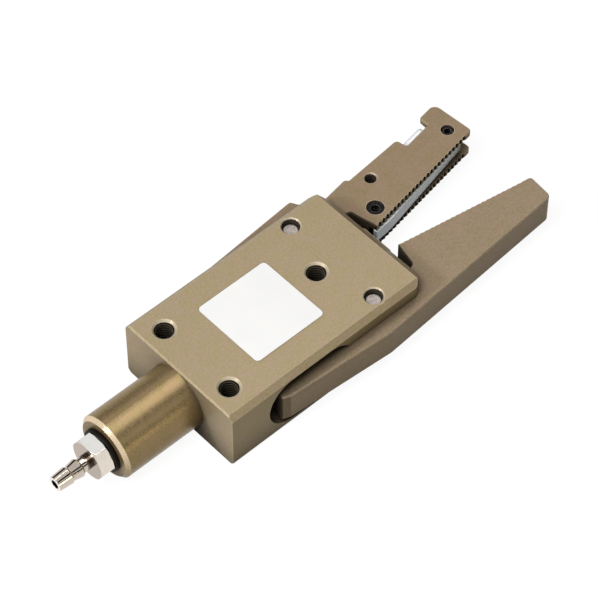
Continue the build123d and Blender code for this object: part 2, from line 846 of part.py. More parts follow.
# Return spring round the piston rod, from the piston to the guide's flange
return_plane = Plane(origin=(piston_front, 0, mid_height), z_dir=(1, 0, 0))
return_spring = coil(
    return_plane, return_radius, return_wire, spigot_end - piston_front, return_coils
)
return_spring.label = "return_spring"
export_step(return_spring, "parts/return_spring.step")

# Opening springs in the web's pockets, each pushing on the neck of its lever
for name, side in (("right", -1), ("left", 1)):
    pocket_floor = web_width / 2 - opening_pocket_depth
    neck_turned = neck_inner / cos(open_turn) - opening_spring_x * tan(open_turn)
    lean_room = (opening_radius + opening_wire) * tan(open_turn)
    spring_end = pivot_y - neck_turned - lean_room - spring_gap
    spring_plane = Plane(
        origin=(pivot_x + opening_spring_x, side * pocket_floor, mid_height),
        x_dir=(1, 0, 0),
        z_dir=(0, side, 0),
    )
    opening_spring = coil(
        spring_plane, opening_radius, opening_wire, spring_end - pocket_floor, opening_coils
    )
    opening_spring.label = name + "_opening_spring"
    export_step(opening_spring, "parts/" + name + "_opening_spring.step")

# Spring that holds the sensing lever's arm proud of the teeth
sensor_spring_start = slot_floor - sensor_pocket_depth
sensor_spring_end = strip_face(sensor_spring_x) - strip_width - spring_gap
sensor_spring_length = sensor_spring_end - sensor_spring_start
sensor_spring = coil(
    lever_axis_plane(1, sensor_spring_x, sensor_spring_start),
    sensor_radius,
    sensor_wire,
    sensor_spring_length,
    sensor_coils,
)
sensor_spring.label = "sensor_spring"
export_step(sensor_spring, "parts/sensor_spring.step")
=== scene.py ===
import json
import math
from collections import namedtuple

import bpy
from mathutils import Matrix, Vector


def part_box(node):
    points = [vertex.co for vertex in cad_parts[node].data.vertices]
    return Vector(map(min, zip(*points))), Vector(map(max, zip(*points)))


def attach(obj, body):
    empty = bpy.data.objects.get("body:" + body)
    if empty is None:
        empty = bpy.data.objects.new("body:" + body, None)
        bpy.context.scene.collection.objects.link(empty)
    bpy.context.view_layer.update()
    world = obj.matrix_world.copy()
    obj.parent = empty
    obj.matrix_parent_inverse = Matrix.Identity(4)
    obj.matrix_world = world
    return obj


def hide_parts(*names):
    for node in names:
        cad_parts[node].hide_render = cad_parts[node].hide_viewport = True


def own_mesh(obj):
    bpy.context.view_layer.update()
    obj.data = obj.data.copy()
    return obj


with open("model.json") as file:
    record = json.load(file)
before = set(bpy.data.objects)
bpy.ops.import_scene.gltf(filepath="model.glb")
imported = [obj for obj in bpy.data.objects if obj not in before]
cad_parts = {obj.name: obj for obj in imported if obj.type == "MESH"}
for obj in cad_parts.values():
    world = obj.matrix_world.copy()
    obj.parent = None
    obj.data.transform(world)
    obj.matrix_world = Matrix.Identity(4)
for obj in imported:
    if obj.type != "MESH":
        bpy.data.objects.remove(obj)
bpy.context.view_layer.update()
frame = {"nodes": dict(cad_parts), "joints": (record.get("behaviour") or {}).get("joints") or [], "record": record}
nodes = frame["nodes"]
joints = {joint["name"]: joint for joint in frame["joints"]}

# Sides of the gripper, as the sign of Y
RIGHT = -1
LEFT = 1

# Sizes of the gripper that the looks follow, in metres
BLOCK_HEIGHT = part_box("body_block")[1].z
LEVER_BOTTOM, LEVER_TOP = (corner.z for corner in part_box("left_lever"))
PIVOT_X, PIVOT_Y, MID_HEIGHT = joints["left_lever_pivot"]["pos_m"]
PIN_RADIUS = 0.002
JAW_ROOT = 0.036
HEXAGON_END = -0.05165
NECK_FRONT = HEXAGON_END - 0.0005
NECK_REAR = HEXAGON_END - 0.0013
BARB_FRONT = HEXAGON_END - 0.001
BARB_RADIUS = 0.0033

# How far each lever is turned out at rest, with the jaws open
OPEN_TURN = math.radians(9.66)

# Teeth of the jaws: where their crests lie in a lever's own frame, and how far down their painted shade reaches
RIGHT_CREST = 0.0115
LEFT_CREST = 0.0124
TOOTH_SHADE = 0.0002
TOOTH_REACH = 0.00045

# Threaded holes: their place, minor radius, countersink and pitch
MOUNT_SPOTS = (
    ("front_mount_thread", 0.01095, 0.0),
    ("rear_mount_thread_right", -0.02225, -0.010),
    ("rear_mount_thread_left", -0.02225, 0.010),
)
MOUNT_RADIUS = 0.0021
MOUNT_SINK = 0.00055
MOUNT_PITCH = 0.0008
JAW_THREAD = (0.0239, 0.0032)
JAW_THREAD_RADIUS = 0.00125
JAW_THREAD_SINK = 0.0003
JAW_THREAD_PITCH = 0.0005

# Thread crests: how far up a countersink they start, and their outline and height in pitches
THREAD_START = 0.4
THREAD_STEPS = 36
THREAD_HEIGHT = 0.405
THREAD_PROFILE = ((0.01, -0.46), (-THREAD_HEIGHT, -0.08), (-THREAD_HEIGHT, 0.08), (0.01, 0.46))

# Camera of the photograph, whose frame is shifted by half a pixel
PHOTO_WIDTH = 598
FRAME_SHIFT = 0.5 / PHOTO_WIDTH
CAMERA_PLACE = Vector((-0.24476, -0.27236, 0.48418))
CAMERA_AZIMUTH = math.radians(227.34)
CAMERA_ELEVATION = math.radians(51.97)
CAMERA_ROLL = math.radians(0.11)
CAMERA_LENS = 173.28
SENSOR_WIDTH = 36.0
NEAREST_SEEN = 0.01
FURTHEST_SEEN = 20.0

# Floor just under the block, so that their faces don't share a plane, and what stands round them
FLOOR_WIDTH = 6.0
FLOOR_HEIGHT = -0.00003
FLAG_DISTANCE = 1.2
FLAG_WIDTH = 1.6
LAMP_DISTANCE = 0.8


# Short helpers
def colour(red, green, blue):
    return (red, green, blue, 1.0)


def add(name, data):
    """A new object in the scene with this mesh, lamp or camera."""
    made = bpy.data.objects.new(name, data)
    bpy.context.scene.collection.objects.link(made)
    return made


def lever_spot(side, x, y):
    """Place on the gripper of a point of a lever's own frame, on its RIGHT or LEFT side."""
    along = PIVOT_X + x * math.cos(OPEN_TURN) + y * math.sin(OPEN_TURN)
    across = PIVOT_Y + x * math.sin(OPEN_TURN) - y * math.cos(OPEN_TURN)
    return along, side * across


# Node trees
class Tree:
    """The node tree of a new material or world, with short calls that make nodes and join them."""

    def __init__(self, owner, output_kind):
        owner.use_nodes = True
        self.owner = owner
        self.nodes = owner.node_tree.nodes
        self.links = owner.node_tree.links
        self.nodes.clear()
        self.output = self.node(output_kind)

    def fill(self, socket, value):
        """Links the socket to value where that is a socket too, and writes value there otherwise."""
        if isinstance(value, bpy.types.NodeSocket):
            self.links.new(value, socket)
        else:
            socket.default_value = value

    def node(self, kind, inputs=None, **settings):
        made = self.nodes.new("ShaderNode" + kind)
        for key, value in settings.items():
            setattr(made, key, value)
        for key, value in (inputs or {}).items():
            self.fill(made.inputs[key], value)
        return made

    def show(self, shader):
        """Joins the shader to the output and returns the finished material or world."""
        self.links.new(shader.outputs[0], self.output.inputs["Surface"])
        return self.owner

    def principled(self, **values):
        """Shows a shader with these sockets set or linked, _ standing for the spaces in names."""
        inputs = {key.replace("_", " "): value for key, value in values.items()}
        return self.show(self.node("BsdfPrincipled", inputs))

    def math(self, operation, first, second=0.5):
        return self.node("Math", {0: first, 1: second}, operation=operation).outputs[0]

    def times(self, first, second):
        return self.math("MULTIPLY", first, second)

    def larger(self, first, second):
        return self.math("MAXIMUM", first, second)

    def below(self, value, limit):
        """1 where value is less than limit, 0 elsewhere."""
        return self.math("LESS_THAN", value, limit)

    def vectors(self, operation, first, second):
        """The outputs of a vector operation."""
        return self.node("VectorMath", {0: first, 1: second}, operation=operation).outputs

    def span(self, value, low, high, out_low, out_high):
        """Maps value from low..high to out_low..out_high, held at both ends."""
        inputs = {0: value, 1: low, 2: high, 3: out_low, 4: out_high}
        return self.node("MapRange", inputs).outputs[0]

    def ramp(self, value, start, end, top=1.0):
        """0 where value is at start, rising to top at end, and held past both."""
        return self.span(value, start, end, 0.0, top)

    def mix(self, share, first, second):
        """The first tone where share is 0, the second where it is 1."""
        inputs = {0: share, 6: first, 7: second}
        return self.node("Mix", inputs, data_type="RGBA").outputs[2]

    def point(self):
        """The point on the object at rest, in metres in the gripper's frame."""
        return self.node("TexCoord").outputs["Object"]

    def coordinate(self, axis):
        """One coordinate of the point, 0 for X to 2 for Z."""
        return self.node("SeparateXYZ", {0: self.point()}).outputs[axis]

    def axis_distance(self, centre, across):
        """Distance from an axis through centre; across is 0 along the axis and 1 square to it."""
        flat = self.vectors("MULTIPLY", self.point(), across)[0]
        return self.vectors("DISTANCE", flat, centre)["Value"]

    def facing(self, axis, normal=None):
        """The surface's normal along one axis, from -1 to 1."""
        normal = normal or self.node("NewGeometry").outputs["Normal"]
        return self.node("SeparateXYZ", {0: normal}).outputs[axis]

    def slope(self, axis):
        """0 on faces along the axis, 1 on faces square to it, whichever way they look."""
        return self.math("ABSOLUTE", self.facing(axis))

    def noise(self, scale, stretch=(1, 1, 1), detail=3.0, roughness=0.55):
        """Noise from 0 to 1, with scale and stretch counted per millimetre."""
        per_millimetre = tuple(1000 * part for part in stretch)
        place = self.node("Mapping", {"Vector": self.point(), "Scale": per_millimetre})
        inputs = {
            "Vector": place.outputs[0],
            "Scale": scale,
            "Detail": detail,
            "Roughness": roughness,
        }
        return self.node("TexNoise", inputs).outputs["Fac"]

    def patches(self, scale, low, high, **settings):
        """Noise with what lies from low to high drawn out to 0 to 1."""
        return self.ramp(self.noise(scale, **settings), low, high)

    def rounded(self, radius):
        """The surface's normal with its edges rounded off."""
        return self.node("Bevel", {"Radius": radius}, samples=6).outputs[0]

    def edges(self, radius):
        """1 close to an outer or inner edge of the mesh, 0 on its open faces."""
        plain = self.node("NewGeometry").outputs["Normal"]
        even = self.vectors("DOT_PRODUCT", self.rounded(radius), plain)["Value"]
        return self.ramp(even, start=0.995, end=0.80)

    def painted_hollow_shade(self, reach, dark, clear, most):
        """Painted shade of holes and grooves: most at an openness of dark, and 0 from clear on."""
        openness = self.node("AmbientOcclusion", {"Distance": reach}, samples=6).outputs["AO"]
        return self.ramp(openness, start=clear, end=dark, top=most)

    def bump(self, height, distance, normal=None):
        """The normal with a relief of height, whose 1 stands distance metres above its 0."""
        inputs = {"Height": height, "Distance": distance}
        if normal is not None:
            inputs["Normal"] = normal
        return self.node("Bump", inputs).outputs[0]

    def seen(self):
        """1 for rays from the eye, straight, reflected or through glass, 0 for bounced light."""
        ray = self.node("LightPath").outputs
        direct = self.larger(ray["Is Camera Ray"], ray["Is Glossy Ray"])
        return self.larger(direct, ray["Is Transmission Ray"])


# Finished materials by name
looks = {}


def material_tree(name):
    """The tree of a new material, which looks keeps under its name."""
    looks[name] = bpy.data.materials.new(name)
    return Tree(looks[name], "OutputMaterial")


# Hard anodised aluminium: tones, shares of them, and lengths in metres
Film = namedtuple("Film", "base rosy pale dark")
# A drilled hole, and how dark the painted shade of its bore is
Hole = namedtuple("Hole", "x y radius gloom")
Teeth = namedtuple("Teeth", "side crest")

# Edge tone: bare metal from wear, and a painted highlight along the edges
WEAR_AND_GLINT_EDGE = colour(0.88, 0.80, 0.64)
# Painted shade in the film's holes, slots and grooves
FILM_PAINTED_SHADE = colour(0.006, 0.004, 0.002)
CLOUD_SHARE = 0.45
ROSY_SHARE = 0.65
# Share of the painted glint on countersinks
RIM_GLINT_SHARE = 0.6
EDGE_RADIUS = 0.00025
RIM_WIDTH = 0.0007
BORE_SLACK = 0.00004
SPECK_HEIGHT = 0.000010
STREAK_HEIGHT = 0.000016
SATIN_SPREAD = 0.07
FILM_GLOSS = 0.04
# How much lighter the painted bore shade is on thread crests
CREST_LIGHT = 0.09
# Painted shade down tooth flanks
FLANK_PAINTED_SHADE = 0.97


def mottled_film(tree, film, speck, sand_strength):
    """Clouds of the film's dark and rosy tones with pale specks."""
    cloud = tree.patches(scale=0.16, low=0.35, high=0.65, detail=2.0)
    tint = tree.patches(scale=0.45, low=0.40, high=0.62)
    tone = tree.mix(tree.times(cloud, CLOUD_SHARE), film.base, film.dark)
    tone = tree.mix(tree.times(tint, ROSY_SHARE), tone, film.rosy)
    return tree.mix(tree.times(speck, sand_strength), tone, film.pale)


def painted_chamfer_highlight(tree):
    """Painted highlight, high on a chamfer that looks up and to the rear, little on one that looks down."""
    forward = tree.facing(0)
    not_end = tree.ramp(forward, start=-0.90, end=-0.80)
    not_side = tree.ramp(forward, start=-0.30, end=-0.50)
    upward = tree.span(tree.facing(2), -0.2, 0.45, 0.1, 0.75)
    return tree.times(tree.times(not_end, not_side), upward)


def drilled(tree, tone, painted_shade, hole, pale):
    """The tone with a painted glint on a pale countersink round the hole, and the painted shade with that of its
    bore, lighter on the thread crests.
    """
    ring = tree.axis_distance((hole.x, hole.y, 0), across=(1, 1, 0))
    sloping = tree.below(tree.slope(2), 0.97)
    rim_glint = tree.times(tree.below(ring, hole.radius + RIM_WIDTH), sloping)
    tone = tree.mix(tree.times(rim_glint, RIM_GLINT_SHARE), tone, pale)
    bore = tree.below(ring, hole.radius + BORE_SLACK)
    crest = hole.radius * 0.86
    root = hole.radius * 0.93
    painted_thread_shade = tree.span(ring, crest, root, hole.gloom - CREST_LIGHT, hole.gloom)
    return tone, tree.larger(painted_shade, tree.times(bore, painted_thread_shade))


def painted_tooth_shade(tree, teeth):
    """Painted shade down the flanks of a jaw's teeth, and 0 away from them."""
    inward = (math.sin(OPEN_TURN), -teeth.side * math.cos(OPEN_TURN), 0)
    crest = PIVOT_X * math.sin(OPEN_TURN) - PIVOT_Y * math.cos(OPEN_TURN) + teeth.crest
    reach = tree.vectors("DOT_PRODUCT", tree.point(), inward)["Value"]
    depth = tree.span(reach, crest, crest - TOOTH_SHADE, 0.30, 1.0)
    near = tree.math("GREATER_THAN", reach, crest - TOOTH_REACH)
    steep = tree.below(tree.slope(2), 0.5)
    return tree.times(tree.times(tree.times(depth, near), steep), FLANK_PAINTED_SHADE)


def painted_root_shadow(tree):
    """Painted shadow on the faces that look to the rear before the jaw's root."""
    rearward = tree.ramp(tree.facing(0), start=-0.25, end=-0.45, top=0.80)
    return tree.times(rearward, tree.below(tree.coordinate(0), JAW_ROOT))


def anodised(
    name, film, grain_stretch,
    sheen=0.15, satin=0.35, sand_scale=2.0, sand_strength=0.20, painted_shade_reach=0.010,
    holes=(), teeth=None, painted_end_highlight=None,
):
    """Satin hard anodised aluminium: mottled film, fine tool grain, paler edges that are partly wear and partly a
    painted highlight, and painted shade in recesses.

    holes are its drilled ones, teeth those of a jaw, and the last argument the tone of a painted highlight on a
    rear chamfer.
    """
    tree = material_tree(name)
    speck = tree.patches(sand_scale, low=0.32, high=0.68, detail=5.0, roughness=0.75)
    streak = tree.noise(scale=2.4, stretch=grain_stretch)
    tone = mottled_film(tree, film, speck, sand_strength)
    # Paler edges, partly from wear and partly a painted highlight
    wear_and_glint = tree.times(tree.edges(EDGE_RADIUS), tree.span(speck, 0, 1, 0.35, 0.95))
    tone = tree.mix(wear_and_glint, tone, WEAR_AND_GLINT_EDGE)
    # Painted highlight on a rear chamfer
    if painted_end_highlight:
        tone = tree.mix(painted_chamfer_highlight(tree), tone, painted_end_highlight)
    # Painted shade in holes, slots and grooves
    painted_shade = tree.painted_hollow_shade(painted_shade_reach, dark=0.20, clear=0.95, most=0.97)
    for hole in holes:
        tone, painted_shade = drilled(tree, tone, painted_shade, hole, film.pale)
    if teeth:
        # Painted shadow at the jaw's root and painted shade down its tooth flanks
        painted_shade = tree.larger(painted_shade, painted_root_shadow(tree))
        painted_shade = tree.larger(painted_shade, painted_tooth_shade(tree, teeth))
    grain = tree.math("ADD", streak, speck)
    rough = tree.span(grain, 0.6, 1.4, satin - SATIN_SPREAD, satin + SATIN_SPREAD)
    return tree.principled(
        Base_Color=tree.mix(painted_shade, tone, FILM_PAINTED_SHADE),
        Roughness=tree.larger(rough, tree.times(painted_shade, 0.9)),
        Normal=tree.bump(streak, STREAK_HEIGHT, normal=tree.bump(speck, SPECK_HEIGHT)),
        Metallic=sheen,
        Specular_IOR_Level=FILM_GLOSS,
    )


# Bare and plated metal, with the painted reflections, shade and highlights of the fitting and the strip too
# Painted shade in the holes and grooves of metal
METAL_PAINTED_SHADE = colour(0.03, 0.026, 0.02)
METAL_GRAIN = 0.00001
PATCH_SHARE = 0.35
STRIP_ROUNDING = 0.0006
STRIP_LIT = colour(0.92, 0.94, 0.96)
CORE_FADE = 0.0002
# Painted tones of the fitting: darker barb reflections, neck shadow, end faces and right flats
BARB_PAINTED_REFLECTION = colour(0.56, 0.49, 0.42)
BARB_END_PAINTED_LIGHT = colour(0.80, 0.78, 0.75)
NECK_PAINTED_SHADOW = colour(0.03, 0.024, 0.018)
END_FACE_PAINTED_SHADE = colour(0.42, 0.345, 0.285)
RIGHT_FLAT_PAINTED_SHADE = colour(0.80, 0.73, 0.64)


def fitting_painted_reflections(tree, tone):
    """Painted light of the polished fitting: a darker barb for its darker reflections, a painted shadow in the
    neck behind the hexagon, painted shade on the turned end faces, lighter on the barb's, and warm painted shade
    on the right flats.
    """
    ring = tree.axis_distance((0, 0, MID_HEIGHT), across=(0, 1, 1))
    core = tree.ramp(ring, start=BARB_RADIUS + CORE_FADE, end=BARB_RADIUS)
    tone = tree.mix(core, tone, BARB_PAINTED_REFLECTION)
    along = tree.coordinate(0)
    neck = tree.ramp(along, start=NECK_REAR, end=NECK_FRONT, top=0.93)
    tone = tree.mix(tree.times(core, neck), tone, NECK_PAINTED_SHADOW)
    ends = tree.ramp(tree.slope(0), start=0.80, end=0.95)
    barb = tree.below(along, BARB_FRONT)
    tone = tree.mix(ends, tone, tree.mix(barb, END_FACE_PAINTED_SHADE, BARB_END_PAINTED_LIGHT))
    rightward = tree.ramp(tree.facing(1), start=-0.4, end=-0.7)
    outside = tree.math("SUBTRACT", 1.0, core)
    return tree.mix(tree.times(rightward, outside), tone, RIGHT_FLAT_PAINTED_SHADE)


def strip_painted_highlight(tree, tone):
    """Painted highlight on the upper edges, where the strip's rounded corners would catch the light."""
    upward = tree.facing(2, tree.rounded(STRIP_ROUNDING))
    return tree.mix(tree.ramp(upward, start=0.12, end=0.40), tone, STRIP_LIT)


def metal(
    name, base, dark, rough, grain_scale, grain_stretch,
    sheen=1.0, rounding=0.0001, add_painted_light=None,
):
    """Metal with fine tool marks, rounded edges and painted shade in its recesses.

    The last argument is a function that adds the painted highlights, reflections and shade that only this metal's
    piece shows.
    """
    tree = material_tree(name)
    streak = tree.noise(grain_scale, stretch=grain_stretch, detail=4.0)
    patch = tree.patches(scale=0.7, low=0.3, high=0.7, detail=2.0)
    tone = tree.mix(tree.times(patch, PATCH_SHARE), base, dark)
    # Painted shade in holes and grooves
    painted_shade = tree.painted_hollow_shade(reach=0.004, dark=0.12, clear=0.60, most=0.90)
    tone = tree.mix(painted_shade, tone, METAL_PAINTED_SHADE)
    if add_painted_light:
        tone = add_painted_light(tree, tone)
    return tree.principled(
        Base_Color=tone,
        Roughness=tree.span(streak, 0.3, 0.7, rough * 0.75, rough * 1.25),
        Normal=tree.bump(streak, METAL_GRAIN, normal=tree.rounded(rounding)),
        Metallic=sheen,
    )


def pressed_pin(name):
    """Hardened pin with a sandy, slightly rosy end, and painted shade in its recesses."""
    tree = material_tree(name)
    sand = tree.patches(scale=3.5, low=0.36, high=0.64, detail=4.0, roughness=0.8)
    dull = colour(0.24, 0.20, 0.18)
    bright = colour(0.74, 0.66, 0.61)
    tone = tree.mix(sand, dull, bright)
    # Painted shade in its bore and grooves
    painted_shade = tree.painted_hollow_shade(reach=0.003, dark=0.08, clear=0.34, most=0.90)
    return tree.principled(
        Base_Color=tree.mix(painted_shade, tone, colour(0.05, 0.04, 0.035)),
        Roughness=tree.span(sand, 0.0, 1.0, 0.42, 0.60),
        Normal=tree.bump(sand, 0.00003),
        Metallic=0.35,
    )


def black_screw(name):
    """Black oxide set screw, paler round the rims of its sockets from rubbing and as a painted glint, with painted
    shade in its socket.
    """
    tree = material_tree(name)
    black = colour(0.003, 0.003, 0.003)
    grain = tree.patches(scale=5.0, low=0.35, high=0.65, detail=4.0, roughness=0.7)
    tone = tree.mix(grain, black, colour(0.014, 0.013, 0.012))
    # Paler socket rims, partly from rubbing and partly a painted glint
    rubbing_and_glint = tree.times(tree.edges(0.00016), tree.ramp(grain, start=0.30, end=0.7, top=0.8))
    tone = tree.mix(rubbing_and_glint, tone, colour(0.60, 0.58, 0.55))
    # Painted shade in its socket and grooves
    painted_shade = tree.painted_hollow_shade(reach=0.002, dark=0.10, clear=0.60, most=0.97)
    return tree.principled(
        Base_Color=tree.mix(painted_shade, tone, black),
        Roughness=tree.span(grain, 0.0, 1.0, 0.25, 0.45),
        Normal=tree.bump(grain, 0.00002),
        Metallic=0.0,
        Specular_IOR_Level=0.08,
    )


# Rubber and paper
def soft(name, base, pale, rough, grain_height):
    """Rubber and other dull black parts."""
    tree = material_tree(name)
    grain = tree.noise(scale=7.0, detail=5.0, roughness=0.7)
    return tree.principled(
        Base_Color=tree.mix(tree.ramp(grain, start=0.35, end=0.7, top=0.6), base, pale),
        Roughness=tree.span(grain, 0.3, 0.7, rough - 0.08, rough + 0.08),
        Normal=tree.bump(grain, grain_height),
        Specular_IOR_Level=0.08,
    )


def paper(name):
    """Blank coated label paper, a little duller at its edge."""
    tree = material_tree(name)
    fibre = tree.noise(scale=5.0, detail=6.0, roughness=0.7)
    cloud = tree.patches(scale=0.12, low=0.35, high=0.65, detail=1.0)
    tone = tree.mix(cloud, colour(0.95, 0.95, 0.955), colour(0.97, 0.97, 0.97))
    edge = tree.times(tree.edges(0.0002), 0.5)
    return tree.principled(
        Base_Color=tree.mix(edge, tone, colour(0.55, 0.54, 0.52)),
        Roughness=tree.span(fibre, 0.3, 0.7, 0.40, 0.55),
        Normal=tree.bump(fibre, 0.000006),
        Specular_IOR_Level=0.3,
    )


# Films and holes of the anodised pieces
BLOCK_FILM = Film(
    base=colour(0.352, 0.277, 0.151),
    rosy=colour(0.376, 0.267, 0.185),
    pale=colour(0.78, 0.69, 0.53),
    dark=colour(0.318, 0.251, 0.122),
)
TUBE_FILM = Film(
    base=colour(0.262, 0.188, 0.080),
    rosy=colour(0.292, 0.188, 0.104),
    pale=colour(0.58, 0.47, 0.31),
    dark=colour(0.220, 0.162, 0.062),
)
LEFT_JAW_FILM = Film(
    base=colour(0.285, 0.206, 0.117),
    rosy=colour(0.312, 0.204, 0.141),
    pale=colour(0.58, 0.50, 0.40),
    dark=colour(0.250, 0.187, 0.090),
)
RIGHT_JAW_FILM = Film(
    base=colour(0.268, 0.200, 0.116),
    rosy=colour(0.300, 0.198, 0.142),
    pale=colour(0.51, 0.43, 0.33),
    dark=colour(0.232, 0.176, 0.086),
)
# Painted shade in the bores of threaded holes and of pin holes
THREAD_PAINTED_SHADE = 0.995
PIN_BORE_PAINTED_SHADE = 0.90
BLOCK_HOLES = [Hole(x, y, MOUNT_RADIUS, THREAD_PAINTED_SHADE) for _, x, y in MOUNT_SPOTS]
BLOCK_HOLES += [Hole(PIVOT_X, side * PIVOT_Y, PIN_RADIUS, PIN_BORE_PAINTED_SHADE) for side in (RIGHT, LEFT)]
JAW_HOLE = Hole(*lever_spot(LEFT, *JAW_THREAD), JAW_THREAD_RADIUS, THREAD_PAINTED_SHADE)

# The looks of all pieces
anodised("anodised_block", BLOCK_FILM, grain_stretch=(0.12, 1.0, 1.0), holes=BLOCK_HOLES)
anodised(
    "anodised_tube",
    TUBE_FILM,
    grain_stretch=(1.0, 0.2, 0.2),
    sheen=0.45,
    satin=0.24,
    sand_strength=0.16,
    painted_shade_reach=0.006,
    # Tone of the painted highlight on its rear chamfer
    painted_end_highlight=colour(0.85, 0.68, 0.48),
)
anodised(
    "anodised_jaw",
    LEFT_JAW_FILM,
    grain_stretch=(1.0, 0.25, 1.0),
    holes=[JAW_HOLE],
    teeth=Teeth(LEFT, LEFT_CREST),
)
anodised(
    "anodised_right_jaw",
    RIGHT_JAW_FILM,
    grain_stretch=(1.0, 0.25, 1.0),
    sand_scale=1.9,
    sand_strength=0.36,
    teeth=Teeth(RIGHT, RIGHT_CREST),
)
metal(
    "nickel",
    base=colour(0.95, 0.93, 0.90),
    dark=colour(0.86, 0.82, 0.76),
    rough=0.09,
    grain_scale=1.2,
    grain_stretch=(1, 0.4, 0.4),
    # Painted reflections, shadow and shade of the fitting
    add_painted_light=fitting_painted_reflections,
)
metal(
    "strip_steel",
    base=colour(0.50, 0.53, 0.56),
    dark=colour(0.38, 0.41, 0.44),
    rough=0.34,
    grain_scale=3.0,
    grain_stretch=(0.1, 0.1, 1),
    sheen=0.25,
    rounding=STRIP_ROUNDING,
    # Painted highlight on the strip's upper edges
    add_painted_light=strip_painted_highlight,
)
metal(
    "bronze",
    base=colour(0.55, 0.36, 0.15),
    dark=colour(0.38, 0.24, 0.10),
    rough=0.32,
    grain_scale=3.0,
    grain_stretch=(1, 1, 0.1),
)
metal(
    "bearing_steel",
    base=colour(0.50, 0.49, 0.48),
    dark=colour(0.40, 0.39, 0.38),
    rough=0.25,
    grain_scale=3.0,
    grain_stretch=(1, 1, 0.1),
)
metal(
    "spring_steel",
    base=colour(0.55, 0.54, 0.53),
    dark=colour(0.40, 0.39, 0.38),
    rough=0.28,
    grain_scale=4.0,
    grain_stretch=(1, 1, 1),
)
metal(
    "piston_alloy",
    base=colour(0.66, 0.66, 0.67),
    dark=colour(0.55, 0.55, 0.56),
    rough=0.3,
    grain_scale=3.0,
    grain_stretch=(1, 0.2, 0.2),
)
pressed_pin("pin_steel")
black_screw("screw_black")
soft(
    "gasket_black",
    base=colour(0.004, 0.003, 0.002),
    pale=colour(0.014, 0.011, 0.008),
    rough=0.5,
    grain_height=0.00003,
)
soft(
    "seal_rubber",
    base=colour(0.02, 0.02, 0.02),
    pale=colour(0.04, 0.04, 0.04),
    rough=0.45,
    grain_height=0.00002,
)
paper("label_white")

# Each CAD piece gets the look of its slot, and two anodised ones a look of their own
slot_of = {part["node"]: part["material_slot"] for part in frame["record"]["subparts"]}
look_of = dict(slot_of, cylinder_tube="anodised_tube", right_lever="anodised_right_jaw")
for name, node in nodes.items():
    node.data.materials.clear()
    node.data.materials.append(looks[look_of[name]])


# Thread crests
def thread_mesh(name, centre, low, high, radius, pitch):
    """Helical crest inside an upright drilled hole, from low to high."""
    rows = int((high - low - pitch) / pitch * THREAD_STEPS)
    points = []
    for row in range(rows + 1):
        turn = 2 * math.pi * row / THREAD_STEPS
        middle = low + pitch / 2 + pitch * row / THREAD_STEPS
        for out, along in THREAD_PROFILE:
            reach = radius + out * pitch
            points.append((
                centre[0] + reach * math.cos(turn),
                centre[1] + reach * math.sin(turn),
                middle + along * pitch,
            ))
    width = len(THREAD_PROFILE)
    last = rows * width
    faces = []
    for start in range(0, last, width):
        for column in range(width):
            beside = (column + 1) % width
            faces.append((
                start + column,
                start + beside,
                start + width + beside,
                start + width + column,
            ))
    faces.append(tuple(reversed(range(width))))
    faces.append(tuple(range(last, last + width)))
    mesh = bpy.data.meshes.new(name)
    mesh.from_pydata(points, [], faces)
    return mesh


def thread(name, centre, low, high, radius, pitch, look, body):
    """A thread's crest as a piece of its own that rides on the body."""
    made = add(name, thread_mesh(name, centre, low, high, radius, pitch))
    made.data.materials.append(looks[look])
    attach(made, body)


for name, x, y in MOUNT_SPOTS:
    thread(
        name,
        centre=(x, y),
        low=MOUNT_SINK * THREAD_START,
        high=BLOCK_HEIGHT - MOUNT_SINK * THREAD_START,
        radius=MOUNT_RADIUS,
        pitch=MOUNT_PITCH,
        look="anodised_block",
        body="housing",
    )
thread(
    "jaw_thread",
    centre=lever_spot(LEFT, *JAW_THREAD),
    low=LEVER_BOTTOM + JAW_THREAD_SINK * THREAD_START,
    high=LEVER_TOP - JAW_THREAD_SINK * THREAD_START,
    radius=JAW_THREAD_RADIUS,
    pitch=JAW_THREAD_PITCH,
    look="anodised_jaw",
    body="left_jaw",
)


# Springs
def folding_spring(name, body):
    """Stands for a rigid CAD spring with a copy of it that rides on the body, and hides the CAD piece."""
    mesh = nodes[name].data.copy()
    mesh.transform(nodes[name].matrix_world)
    made = add(name + "_folding", mesh)
    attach(made, body)
    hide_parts(name)
    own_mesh(made)


folding_spring(
    "return_spring",
    "housing",
)
for word, side in (("right", RIGHT), ("left", LEFT)):
    folding_spring(
        word + "_opening_spring",
        "housing",
    )
folding_spring(
    "sensor_spring",
    "left_jaw",
)


# Floor and sky
FLOOR_SHADES = (colour(0.12, 0.12, 0.12), colour(0.13, 0.13, 0.13))
FLOOR_BOUNCE = colour(0.15, 0.135, 0.095)
FLOOR_GLOW = 0.93
SKY_TINT = colour(1.0, 0.94, 0.76)
SKY_LIGHT = 0.06
SKY_SEEN = 1.0


def rectangle(name, width, depth, height=0.0):
    """A flat mesh round the upright axis, at height."""
    x = width / 2
    y = depth / 2
    corners = [(-x, -y, height), (x, -y, height), (x, y, height), (-x, y, height)]
    mesh = bpy.data.meshes.new(name)
    mesh.from_pydata(corners, [], [(0, 1, 2, 3)])
    return mesh


def floor_look():
    """White with its shadow to the eye and to reflections, dim and warm to bounced light."""
    tree = material_tree("floor_white")
    tone = tree.mix(tree.noise(scale=0.05), *FLOOR_SHADES)
    shaded = tree.node("BsdfDiffuse", {"Color": tone}).outputs[0]
    glow = tree.node("Emission", {"Color": colour(1, 1, 1), "Strength": FLOOR_GLOW}).outputs[0]
    white = tree.node("AddShader", {0: shaded, 1: glow}).outputs[0]
    bounced = tree.node("BsdfDiffuse", {"Color": FLOOR_BOUNCE}).outputs[0]
    return tree.show(tree.node("MixShader", {0: tree.seen(), 1: bounced, 2: white}))


